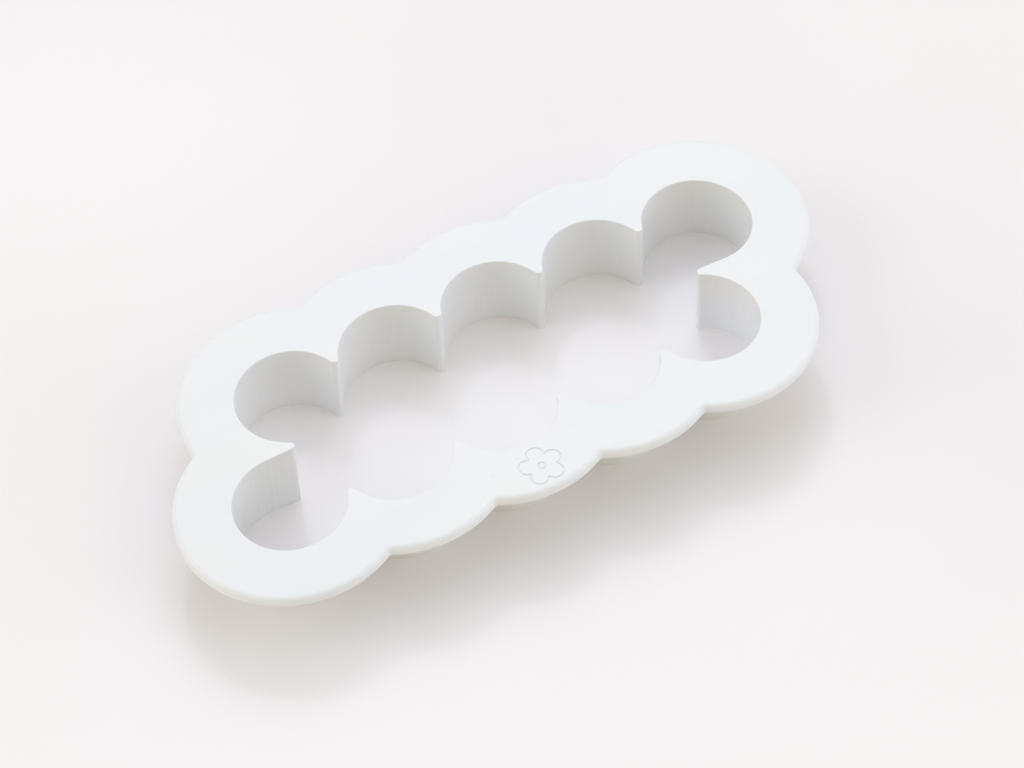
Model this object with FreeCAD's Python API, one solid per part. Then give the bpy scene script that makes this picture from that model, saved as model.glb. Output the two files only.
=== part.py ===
"""Rose cutter: one moulded piece of white plastic that cuts two staggered rows of round petals.

Millimetres, +Z up. The cutter stands on the foot of its cutting wall, with its flange on top.
The origin is in the foot plane at the centre of the part, which but for its blossom looks the
same after half a turn about Z. X runs along the rows, and Y from the front row to the back row.
"""
import FreeCAD
import Part

import math
import os

# Layout of the round lobes: the back row stands half the stagger to the right, the front
# row half of it to the left.
LOBES_PER_ROW = 5
LOBE_PITCH = 19.2
ROW_SPACING = 19.2
ROW_STAGGER = 9.6
LOBE_RADIUS = 9.4

# Rounded tips of the wall between neighbouring lobes
TIP_RADIUS = 0.75

# Upright cutting wall: its foot is flat with crisp edges, which cut the paste, and its height is
# measured in the middle of the part
TOTAL_HEIGHT = 14.7
WALL_THICKNESS = 1.25
WALL_VALLEY_RADIUS = 0.8

# Flange that the hand presses on: its top falls by the crown from the middle to either end
FLANGE_WIDTH = 9.7
FLANGE_THICKNESS = 1.6
FLANGE_CROWN = 1.9
FLANGE_VALLEY_RADIUS = 1.0
FLANGE_EDGE_ROUNDING = 0.85
OPENING_EDGE_ROUNDING = 0.15
ROOT_FILLET = 0.5

# Small blossom in thin grooves on the flange, in front of the middle lobe of the front row
MARK_LOBE = LOBES_PER_ROW // 2
MARK_PETALS = 5
MARK_DIAMETER = 8.0
MARK_PETAL_RADIUS = 1.6
MARK_EYE_RADIUS = 0.8
MARK_GROOVE_WIDTH = 0.35
MARK_GROOVE_DEPTH = 0.15

BACK_ROW = 1
FRONT_ROW = -1

# The crown is one shallow arc along the rows.
HALF_LENGTH = ((LOBES_PER_ROW - 1) * LOBE_PITCH + ROW_STAGGER) / 2 + LOBE_RADIUS + FLANGE_WIDTH
HALF_WIDTH = ROW_SPACING / 2 + LOBE_RADIUS + FLANGE_WIDTH
CROWN_RADIUS = (HALF_LENGTH ** 2 + FLANGE_CROWN ** 2) / (2 * FLANGE_CROWN)

# What cuts a whole face reaches this far past it.
CLEAR = 5.0

# Two points nearer than this are one point.
SAME_PLACE = 1e-4


def point(x, y, z=0.0):
    return FreeCAD.Vector(x, y, z)


def lobe_centres(row):
    """Centres of the lobes of one row, from left to right."""
    first = -(LOBES_PER_ROW - 1) / 2 * LOBE_PITCH + row * ROW_STAGGER / 2
    return [point(first + i * LOBE_PITCH, row * ROW_SPACING / 2) for i in range(LOBES_PER_ROW)]


def disc(centre, radius):
    return Part.Face(Part.Wire(Part.makeCircle(radius, centre)))


def rectangle(low, high):
    corners = [low, point(high.x, low.y), high, point(low.x, high.y), low]
    return Part.Face(Part.makePolygon(corners))


def flat_union(faces):
    """One flat face that covers all the given ones, without the seams between them."""
    return faces[0].multiFuse(faces[1:]).removeSplitter().Faces[0]


def grown(face, distance):
    """The flat face with its outline moved outwards, or inwards where distance is negative."""
    return face.makeOffset2D(distance).Faces[0]


def crown_height(x):
    """Height of the flange's top over the foot plane."""
    return TOTAL_HEIGHT - CROWN_RADIUS + math.sqrt(CROWN_RADIUS ** 2 - x ** 2)


def below_crown(depth):
    """All that lies at least so deep under the crowned top, down to the foot plane."""
    reach = HALF_LENGTH + CLEAR
    side = HALF_WIDTH + CLEAR
    left = point(-reach, -side, crown_height(reach) - depth)
    right = point(reach, -side, crown_height(reach) - depth)
    arc = Part.Arc(left, point(0, -side, TOTAL_HEIGHT - depth), right).toShape()
    corners = [right, point(reach, -side), point(-reach, -side), left]
    section = Part.Face(Part.Wire([arc] + Part.makePolygon(corners).Edges))
    return section.extrude(point(0, 2 * side))


def column(face):
    """The flat face drawn up from the foot plane to past the top."""
    return face.extrude(point(0, 0, TOTAL_HEIGHT + CLEAR))


def opening_outline():
    """The clear shape inside the wall: both rows of lobes and the open strip between them."""
    back = lobe_centres(BACK_ROW)
    front = lobe_centres(FRONT_ROW)
    lobes = [disc(centre, LOBE_RADIUS) for centre in back + front]
    strip = rectangle(point(back[0].x, front[0].y), point(front[-1].x, back[-1].y))
    # The end lobe that reaches further out runs straight on into the strip, which leaves a
    # finger of wall between it and the end lobe of the other row.
    left_run = rectangle(front[0], point(back[0].x, front[0].y + LOBE_RADIUS))
    right_run = rectangle(point(front[-1].x, back[-1].y - LOBE_RADIUS), back[-1])
    sharp = flat_union(lobes + [strip, left_run, right_run])
    # Out and back in again rounds every tip of wall that points into the opening.
    return grown(grown(sharp, TIP_RADIUS), -TIP_RADIUS)


def outline_around(opening, width, valley_radius):
    """The outline at a constant width around the opening, with its valleys rounded."""
    return grown(grown(opening, width + valley_radius), -valley_radius)


def edges_along(shape, outline, depth):
    """The edges of a shape that follow an outline, so deep under the crowned top."""
    return [edge for edge in shape.Edges
            if all(abs(crown_height(spot.x) - depth - spot.z) < SAME_PLACE
                   and on_outline(spot, outline) for spot in edge.discretize(3))]


def on_outline(spot, outline):
    flat = Part.Vertex(point(spot.x, spot.y))
    return outline.OuterWire.distToShape(flat)[0] < SAME_PLACE


def blossom(centre):
    """The grooves of the blossom: an outline of petals and a ring for its eye."""
    reach = MARK_DIAMETER / 2 - MARK_PETAL_RADIUS
    petals = [disc(centre, reach)]
    for i in range(MARK_PETALS):
        turn = math.radians(90 + 360 * i / MARK_PETALS)
        offset = point(reach * math.cos(turn), reach * math.sin(turn))
        petals.append(disc(centre + offset, MARK_PETAL_RADIUS))
    outline = flat_union(petals)
    eye = disc(centre, MARK_EYE_RADIUS)
    return [outline.cut(grown(outline, -MARK_GROOVE_WIDTH)),
            eye.cut(disc(centre, MARK_EYE_RADIUS - MARK_GROOVE_WIDTH))]


def cutter_body():
    opening = opening_outline()
    wall = outline_around(opening, WALL_THICKNESS, WALL_VALLEY_RADIUS)
    flange = outline_around(opening, FLANGE_WIDTH, FLANGE_VALLEY_RADIUS)

    plate = column(flange).common(below_crown(0)).cut(below_crown(FLANGE_THICKNESS))
    plate = plate.makeFillet(FLANGE_EDGE_ROUNDING, edges_along(plate, flange, 0))
    walls = column(wall).common(below_crown(FLANGE_THICKNESS))
    body = plate.fuse(walls).removeSplitter()
    body = body.makeFillet(ROOT_FILLET, edges_along(body, wall, FLANGE_THICKNESS))
    body = body.cut(column(opening))

    body = body.makeFillet(OPENING_EDGE_ROUNDING, edges_along(body, opening, 0))

    lobe = lobe_centres(FRONT_ROW)[MARK_LOBE]
    centre = lobe - point(0, LOBE_RADIUS + FLANGE_WIDTH / 2)
    for groove in blossom(centre):
        body = body.cut(column(groove).cut(below_crown(MARK_GROOVE_DEPTH)))
    return body.Solids[0]


def main():
    os.makedirs("parts", exist_ok=True)
    body = cutter_body()
    body.exportStep("parts/cutter_body.step")
    print("cutter_body: volume %.1f mm3, box %s" % (body.Volume, body.BoundBox))


main()
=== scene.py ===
"""Rose cutter in white moulded plastic, standing on a pale table in soft studio light.

The cutter's solid comes packed in the frame and keeps its shape. This file gives it its finish, and
makes the table, the lamps and the camera. Metres, +Z up, in the axes of the frame.
"""
import math
from collections import namedtuple

import bmesh
import bpy
from bpy.props import FloatProperty, FloatVectorProperty, PointerProperty
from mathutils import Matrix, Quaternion, Vector

bl_info = {
    "name": "Rose Cutter",
    "version": (1, 0, 0),
    "blender": (4, 5, 0),
    "location": "3D View > Sidebar > Rose Cutter",
    "description": "Finish of a moulded rose cutter, and the lit table that it stands on",
    "category": "Object",
}

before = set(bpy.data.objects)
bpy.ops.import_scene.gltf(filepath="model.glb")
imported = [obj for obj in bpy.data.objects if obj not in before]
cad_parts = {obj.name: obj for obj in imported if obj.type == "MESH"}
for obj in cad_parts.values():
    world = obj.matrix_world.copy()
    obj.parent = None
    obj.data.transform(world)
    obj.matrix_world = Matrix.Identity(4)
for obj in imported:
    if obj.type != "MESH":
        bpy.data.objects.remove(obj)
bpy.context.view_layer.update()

MM = 0.001


class ROSECUTTER_PG_plastic(bpy.types.PropertyGroup):
    """White moulded plastic of the cutter"""

    colour: FloatVectorProperty(
        name="Colour",
        description="Colour of the plastic where it is clean and thick",
        subtype="COLOR",
        size=3,
        min=0.0,
        max=1.0,
        default=(0.85, 0.852, 0.862),
    )
    flow_colour: FloatVectorProperty(
        name="Flow colour",
        description="Colour of the faint bands that the plastic leaves where it flows into the mould",
        subtype="COLOR",
        size=3,
        min=0.0,
        max=1.0,
        default=(0.83, 0.84, 0.875),
    )
    flow_length: FloatProperty(
        name="Flow length",
        description="Size of one band of the flow",
        subtype="DISTANCE",
        unit="LENGTH",
        min=0.001,
        default=0.014,
    )
    roughness: FloatProperty(
        name="Roughness",
        description="How matt the moulded skin is",
        subtype="FACTOR",
        min=0.0,
        max=1.0,
        default=0.44,
    )
    grain_size: FloatProperty(
        name="Grain size",
        description="Size of the fine satin grain",
        subtype="DISTANCE",
        unit="LENGTH",
        min=0.00005,
        default=0.0004,
    )
    grain_depth: FloatProperty(
        name="Grain depth",
        description="Depth of the fine satin grain",
        subtype="DISTANCE",
        unit="LENGTH",
        min=0.0,
        default=0.000003,
    )
    speck_size: FloatProperty(
        name="Speck size",
        description="Radius of the faint speck in the front flange",
        subtype="DISTANCE",
        unit="LENGTH",
        min=0.00005,
        default=0.0005,
    )


class ROSECUTTER_PG_stage(bpy.types.PropertyGroup):
    """Table, lamps and camera"""

    table_colour: FloatVectorProperty(
        name="Table colour",
        description="Colour of the table behind the cutter",
        subtype="COLOR",
        size=3,
        min=0.0,
        max=1.0,
        default=(0.885, 0.847, 0.853),
    )
    # Painted light: this paler colour stands in for the stronger light on the table in front of the cutter.
    front_colour_painted_light: FloatVectorProperty(
        name="Front colour",
        description="Colour of the table in front of the cutter",
        subtype="COLOR",
        size=3,
        min=0.0,
        max=1.0,
        default=(0.943, 0.914, 0.92),
    )
    air_light: FloatProperty(
        name="Air light",
        description="Strength of the even light from all round",
        min=0.0,
        default=0.528,
    )
    air_colour: FloatVectorProperty(
        name="Air colour",
        description="Colour of the even light from all round",
        subtype="COLOR",
        size=3,
        min=0.0,
        max=1.0,
        default=(1.0, 0.944, 0.622),
    )
    lamp_distance: FloatProperty(
        name="Lamp distance",
        description="How far the lamps stand from the cutter",
        subtype="DISTANCE",
        unit="LENGTH",
        min=0.3,
        default=2.0,
    )


class Signal:
    """An output socket in a shader tree. Maths on it reads as plain Python and adds Math nodes."""

    def __init__(self, tree, socket=None):
        self.tree = tree
        self.socket = socket

    def add(self, kind, settings=None, inputs=None, output=0):
        """Adds a node, makes its settings, then its inputs, and returns one of its outputs.

        Inputs go by name, or by number among those in use, and each holds a value or another signal.
        """
        node = self.tree.nodes.new("ShaderNode" + kind)
        for name, value in (settings or {}).items():
            setattr(node, name, value)
        in_use = [socket for socket in node.inputs if socket.enabled]
        for key, value in (inputs or {}).items():
            socket = in_use[key] if isinstance(key, int) else next(s for s in in_use if s.name == key)
            if isinstance(value, Signal):
                self.tree.links.new(value.socket, socket)
            else:
                socket.default_value = value
        made = [socket for socket in node.outputs if socket.enabled]
        if isinstance(output, str):
            return Signal(self.tree, next(socket for socket in made if socket.name == output))
        return Signal(self.tree, made[output] if made else None)

    def maths(self, operation, first, second):
        return self.add("Math", {"operation": operation}, {0: first, 1: second})

    def __add__(self, other):
        return self.maths("ADD", self, other)

    __radd__ = __add__

    def __mul__(self, other):
        return self.maths("MULTIPLY", self, other)

    __rmul__ = __mul__

    def __sub__(self, other):
        return self.maths("SUBTRACT", self, other)

    def __rsub__(self, other):
        return self.maths("SUBTRACT", other, self)


def new_material(name):
    """A material with an empty tree, and a signal that adds nodes to it."""
    material = bpy.data.materials.new(name)
    material.use_nodes = True
    material.node_tree.nodes.clear()
    return material, Signal(material.node_tree)


def cloud(shader, place, size, detail):
    """Noise from 0 to 1 whose clouds have this size: one length, or one for each axis."""
    sizes = size if isinstance(size, tuple) else (size, size, size)
    stretched = shader.add("VectorMath", {"operation": "DIVIDE"}, {0: place, 1: sizes})
    return shader.add("TexNoise", inputs={"Vector": stretched, "Scale": 1.0, "Detail": detail})


def blend_colours(shader, share, first, second):
    colours = [value if isinstance(value, Signal) else (*value, 1.0) for value in (first, second)]
    return shader.add("Mix", {"data_type": "RGBA"}, {"Factor": share, "A": colours[0], "B": colours[1]})


def step(shader, value, low, high, start=0.0, end=1.0):
    """Goes smoothly from start to end while the value goes from low to high."""
    return shader.add("MapRange", {"interpolation_type": "SMOOTHSTEP"}, {
        "Value": value, "From Min": low, "From Max": high, "To Min": start, "To Max": end})


def background_rays(shader):
    """1 for what the camera sees, also in a reflection or through glass, and 0 for other rays."""
    seen = shader.add("LightPath", output="Is Camera Ray")
    for kind in ("Is Glossy Ray", "Is Transmission Ray"):
        seen = seen.maths("MAXIMUM", seen, shader.add("LightPath", output=kind))
    return seen


# Square of a normal's upward part: a face below the first is a wall, and one above the second isn't.
WALL_TILT = (0.02, 0.2)

# Bands of the flow: how much longer they are along the rows, and the values of the cloud between
# which they set in
FLOW_STRETCH = 2.2
FLOW_CLOUD = (0.35, 0.7)

# Faint speck: its place, its colour and how much of it shows, and the shares of its radius between
# which it fades
SPECK_PLACE = Vector((-12.5, -21.7, 14.6)) * MM
SPECK_COLOUR = (0.62, 0.61, 0.58)
SPECK_SHARE = 0.11
SPECK_FADE = (0.3, 1.3)

# Shallow ripple of the skin, and the upright draw marks that the mould leaves on the walls
RIPPLE_SIZE = 5.0 * MM
RIPPLE_DEPTH = 0.03 * MM
DRAW_SIZE = (0.5 * MM, 0.5 * MM, 30.0 * MM)
DRAW_DEPTH = 0.05 * MM

# Polish of the skin: size of its patches, how much they change the roughness, and how much rougher
# the walls are
POLISH_SIZE = 9.0 * MM
POLISH_CHANGE = 0.1
WALL_ROUGHER = 0.06

# The plastic's refraction, and the little light that goes through its skin: how much, how far red,
# green and blue go as shares of the depth, and the depth
PLASTIC_IOR = 1.46
SKIN_SHARE = 0.06
SKIN_REACH = (1.0, 0.9, 0.75)
SKIN_DEPTH = 0.6 * MM


def plastic_material(plastic):
    material, shader = new_material("white_plastic")
    place = shader.add("TexCoord", output="Object")
    normal = shader.add("NewGeometry", output="Normal")
    tilt = shader.add("SeparateXYZ", inputs={"Vector": normal}, output="Z")
    upright = step(shader, tilt * tilt, *WALL_TILT, start=1.0, end=0.0)

    length = plastic.flow_length
    flow = cloud(shader, place, (FLOW_STRETCH * length, length, length), detail=3.0)
    colour = blend_colours(shader, step(shader, flow, *FLOW_CLOUD), plastic.colour, plastic.flow_colour)
    away = shader.add("VectorMath", {"operation": "DISTANCE"}, {0: place, 1: SPECK_PLACE})
    core, rim = (share * plastic.speck_size for share in SPECK_FADE)
    speck = step(shader, away, core, rim, start=SPECK_SHARE, end=0.0)
    colour = blend_colours(shader, speck, colour, SPECK_COLOUR)

    grain = cloud(shader, place, plastic.grain_size, detail=3.0)
    ripple = cloud(shader, place, RIPPLE_SIZE, detail=1.0)
    draws = cloud(shader, place, DRAW_SIZE, detail=2.0)
    height = grain * plastic.grain_depth + ripple * RIPPLE_DEPTH + draws * upright * DRAW_DEPTH
    relief = shader.add("Bump", inputs={"Distance": 1.0, "Height": height})

    polish = cloud(shader, place, POLISH_SIZE, detail=2.0)
    skin = shader.add("BsdfPrincipled", inputs={
        "Base Color": colour,
        "Roughness": plastic.roughness + POLISH_CHANGE * (polish - 0.5) + WALL_ROUGHER * upright,
        "IOR": PLASTIC_IOR,
        "Normal": relief,
        "Subsurface Weight": SKIN_SHARE,
        "Subsurface Radius": SKIN_REACH,
        "Subsurface Scale": SKIN_DEPTH,
    })
    shader.add("OutputMaterial", inputs={"Surface": skin})
    return material


# Painted light: the table is painted paler towards the front. It goes from one colour to the other along this
# azimuth, this far to each side of the cutter.
TABLE_FRONT = -26.0
TABLE_FADE = 100.0 * MM

# Between these distances from the cutter the table fades into the background.
TABLE_FAR = (200.0 * MM, 900.0 * MM)

# Faint lighter clouds in the table: their size, their colour, how much of it shows, and the values
# of the cloud between which they set in
TONE_SIZE = 45.0 * MM
TONE_COLOUR = (0.95, 0.93, 0.935)
TONE_SHARE = 0.1
TONE_CLOUD = (0.3, 0.75)

# Skin of the table
TABLE_GRAIN_SIZE = 0.6 * MM
TABLE_GRAIN_DEPTH = 0.004 * MM
TABLE_ROUGHNESS = 0.55

# Broad soft patches of painted light and shade on the table, one lighter and two darker: where each lies, how
# far it reaches, how much of its colour it adds in the middle, and that colour
Patch = namedtuple("Patch", "place reach share colour")

TABLE_PAINTED_LIGHT_AND_SHADE = (
    Patch(Vector((-40.0, 88.0, 0.0)) * MM, 75.0 * MM, 0.6, (0.94, 0.915, 0.92)),
    Patch(Vector((85.0, -50.0, 0.0)) * MM, 65.0 * MM, 0.5, (0.82, 0.795, 0.80)),
    Patch(Vector((44.0, 48.0, 0.0)) * MM, 60.0 * MM, 0.35, (0.82, 0.795, 0.80)),
)


def table_material(stage):
    material, shader = new_material("table_top")
    place = shader.add("TexCoord", output="Object")
    forward = shader.add("VectorMath", {"operation": "DOT_PRODUCT"}, {
        0: place, 1: direction(TABLE_FRONT, 0.0)}, output="Value")
    front = shader.add("MapRange", inputs={"Value": forward, "From Min": -TABLE_FADE, "From Max": TABLE_FADE})
    # Painted light: the table's colour grows paler towards the front.
    colour = blend_colours(shader, front * front, stage.table_colour, stage.front_colour_painted_light)
    # Painted light and shade: soft lighter and darker patches in the table's colour.
    for patch in TABLE_PAINTED_LIGHT_AND_SHADE:
        away = shader.add("VectorMath", {"operation": "DISTANCE"}, {0: place, 1: patch.place})
        share = step(shader, away, 0.0, patch.reach, start=patch.share, end=0.0)
        colour = blend_colours(shader, share, colour, patch.colour)
    tone = cloud(shader, place, TONE_SIZE, detail=2.0)
    colour = blend_colours(shader, step(shader, tone, *TONE_CLOUD, end=TONE_SHARE), colour, TONE_COLOUR)
    grain = cloud(shader, place, TABLE_GRAIN_SIZE, detail=2.0)
    relief = shader.add("Bump", inputs={"Distance": 1.0, "Height": grain * TABLE_GRAIN_DEPTH})
    top = shader.add("BsdfPrincipled", inputs={
        "Base Color": colour,
        "Roughness": TABLE_ROUGHNESS,
        "Normal": relief,
    })
    # Far from the cutter the table fades into the white of the background.
    away = shader.add("VectorMath", {"operation": "LENGTH"}, {0: place}, output="Value")
    far = step(shader, away, *TABLE_FAR) * background_rays(shader)
    glow = shader.add("Emission", inputs={"Color": (1.0, 1.0, 1.0, 1.0), "Strength": 1.0})
    surface = shader.add("MixShader", inputs={0: far, 1: top, 2: glow})
    shader.add("OutputMaterial", inputs={"Surface": surface})
    return material


class ROSECUTTER_OT_body(bpy.types.Operator):
    """Give the cutter's body its moulded plastic"""

    bl_idname = "rose_cutter.body"
    bl_label = "Cutter Body"

    def execute(self, context):
        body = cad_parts["cutter_body"]
        material = plastic_material(context.scene.rose_cutter_plastic)
        body.data.materials.clear()
        body.data.materials.append(material)
        return {"FINISHED"}


class ROSECUTTER_OT_stage(bpy.types.Operator):
    """Make the table, the lamps and the camera"""

    bl_idname = "rose_cutter.stage"
    bl_label = "Table, Lamps and Camera"

    def execute(self, context):
        scene = context.scene
        lay_table(scene)
        light_stage(scene)
        set_camera(scene)
        scene.view_settings.view_transform = "Standard"
        return {"FINISHED"}


# Half the side of the square table
TABLE_HALF = 2.0


def lay_table(scene):
    sheet = bmesh.new()
    bmesh.ops.create_grid(sheet, x_segments=1, y_segments=1, size=TABLE_HALF)
    mesh = bpy.data.meshes.new("table")
    sheet.to_mesh(mesh)
    sheet.free()
    table = bpy.data.objects.new("table", mesh)
    mesh.materials.append(table_material(scene.rose_cutter_stage))
    scene.collection.objects.link(table)


# One line for each lamp: where it stands, how wide and how high it is at one metre, and how bright
# it makes a white face that is turned to it, in red, green and blue.
Lamp = namedtuple("Lamp", "name azimuth elevation width height level")

LAMPS = (
    Lamp("window", 150.0, 48.0, 0.5, 0.5, (0.117, 0.147, 0.185)),
    Lamp("spot", 162.0, 53.0, 0.08, 0.08, (0.054, 0.05, 0.053)),
    Lamp("ceiling", 160.0, 82.0, 0.9, 0.9, (0.104, 0.112, 0.21)),
    Lamp("left_panel", 255.0, 32.0, 0.7, 0.7, (0.224, 0.26, 0.307)),
    Lamp("left_strip", 255.0, 10.0, 0.8, 0.3, (0.066, 0.023, 0.013)),
    Lamp("right_panel", 45.0, 32.0, 0.7, 0.7, (0.139, 0.132, 0.12)),
    Lamp("right_strip", 65.0, 8.0, 0.8, 0.3, (0.127, 0.141, 0.246)),
    Lamp("right_high_panel", 72.0, 55.0, 0.9, 0.9, (0.036, 0.062, 0.097)),
    Lamp("back_panel", 118.0, 35.0, 0.6, 0.6, (0.057, 0.04, 0.03)),
)


def light_stage(scene):
    stage = scene.rose_cutter_stage
    scene.world = studio_air(stage.air_light, stage.air_colour)
    for lamp in LAMPS:
        scene.collection.objects.link(studio_lamp(lamp, stage.lamp_distance))


def studio_air(strength, colour):
    """Even light from all round, which shows as plain white to the camera and in reflections."""
    world = bpy.data.worlds.new("studio_air")
    world.use_nodes = True
    world.node_tree.nodes.clear()
    shader = Signal(world.node_tree)
    seen = background_rays(shader)
    tint = blend_colours(shader, seen, colour, (1.0, 1.0, 1.0))
    level = seen + strength * (1 - seen)
    air = shader.add("Background", inputs={"Color": tint, "Strength": level})
    shader.add("OutputWorld", inputs={"Surface": air})
    return world


def studio_lamp(lamp, distance):
    """A rectangular lamp that faces the cutter."""
    light = bpy.data.lights.new(lamp.name, "AREA")
    light.shape = "RECTANGLE"
    light.size = lamp.width * distance
    light.size_y = lamp.height * distance
    light.energy = max(lamp.level) * (math.pi * distance) ** 2
    light.color = [part / max(lamp.level) for part in lamp.level]
    stand = bpy.data.objects.new(lamp.name, light)
    back = direction(lamp.azimuth, lamp.elevation)
    stand.location = back * distance
    stand.rotation_mode = "QUATERNION"
    stand.rotation_quaternion = (-back).to_track_quat("-Z", "Y")
    stand.visible_camera = False
    return stand


def direction(azimuth, elevation):
    """The way from the cutter to a place at this azimuth, counted from -Y towards +X."""
    turn, rise = math.radians(azimuth), math.radians(elevation)
    return Vector((math.sin(turn) * math.cos(rise), -math.cos(turn) * math.cos(rise), math.sin(rise)))


# Camera: the point on the table that it looks at, its distance from there, the way to it and its
# roll clockwise, all three in degrees, and its lens and sensor in millimetres
AIM = Vector((4.06, 3.96, 0.0)) * MM
DISTANCE = 642.76 * MM
AZIMUTH = -25.73
ELEVATION = 51.335
ROLL = 3.168
LENS = 133.86
SENSOR_WIDTH = 36.0
CLIP_START = 10.0 * MM
CLIP_END = 10.0


def set_camera(scene):
    camera = bpy.data.objects.new("camera", bpy.data.cameras.new("camera"))
    scene.collection.objects.link(camera)
    back = direction(AZIMUTH, ELEVATION)
    camera.location = AIM + back * DISTANCE
    camera.rotation_mode = "QUATERNION"
    level = (-back).to_track_quat("-Z", "Y")
    camera.rotation_quaternion = level @ Quaternion((0.0, 0.0, 1.0), math.radians(-ROLL))
    camera.data.lens = LENS
    camera.data.sensor_width = SENSOR_WIDTH
    camera.data.clip_start = CLIP_START
    camera.data.clip_end = CLIP_END
    scene.camera = camera


class ROSECUTTER_PT_looks(bpy.types.Panel):
    """Lists what makes up the looks of the rose cutter"""

    bl_label = "Rose Cutter"
    bl_space_type = "VIEW_3D"
    bl_region_type = "UI"
    bl_category = "Rose Cutter"

    def draw(self, context):
        layout = self.layout
        for group, operator in (
            (context.scene.rose_cutter_plastic, ROSECUTTER_OT_body),
            (context.scene.rose_cutter_stage, ROSECUTTER_OT_stage),
        ):
            box = layout.box()
            for name in group.bl_rna.properties.keys():
                if name not in ("rna_type", "name"):
                    box.prop(group, name)
            box.operator(operator.bl_idname)


CLASSES = (
    ROSECUTTER_PG_plastic,
    ROSECUTTER_PG_stage,
    ROSECUTTER_OT_body,
    ROSECUTTER_OT_stage,
    ROSECUTTER_PT_looks,
)


def register():
    for each in CLASSES:
        bpy.utils.register_class(each)
    bpy.types.Scene.rose_cutter_plastic = PointerProperty(type=ROSECUTTER_PG_plastic)
    bpy.types.Scene.rose_cutter_stage = PointerProperty(type=ROSECUTTER_PG_stage)


def unregister():
    del bpy.types.Scene.rose_cutter_stage
    del bpy.types.Scene.rose_cutter_plastic
    for each in reversed(CLASSES):
        bpy.utils.unregister_class(each)


def main():
    register()
    bpy.ops.rose_cutter.body()
    bpy.ops.rose_cutter.stage()


if __name__ == "__main__":
    main()
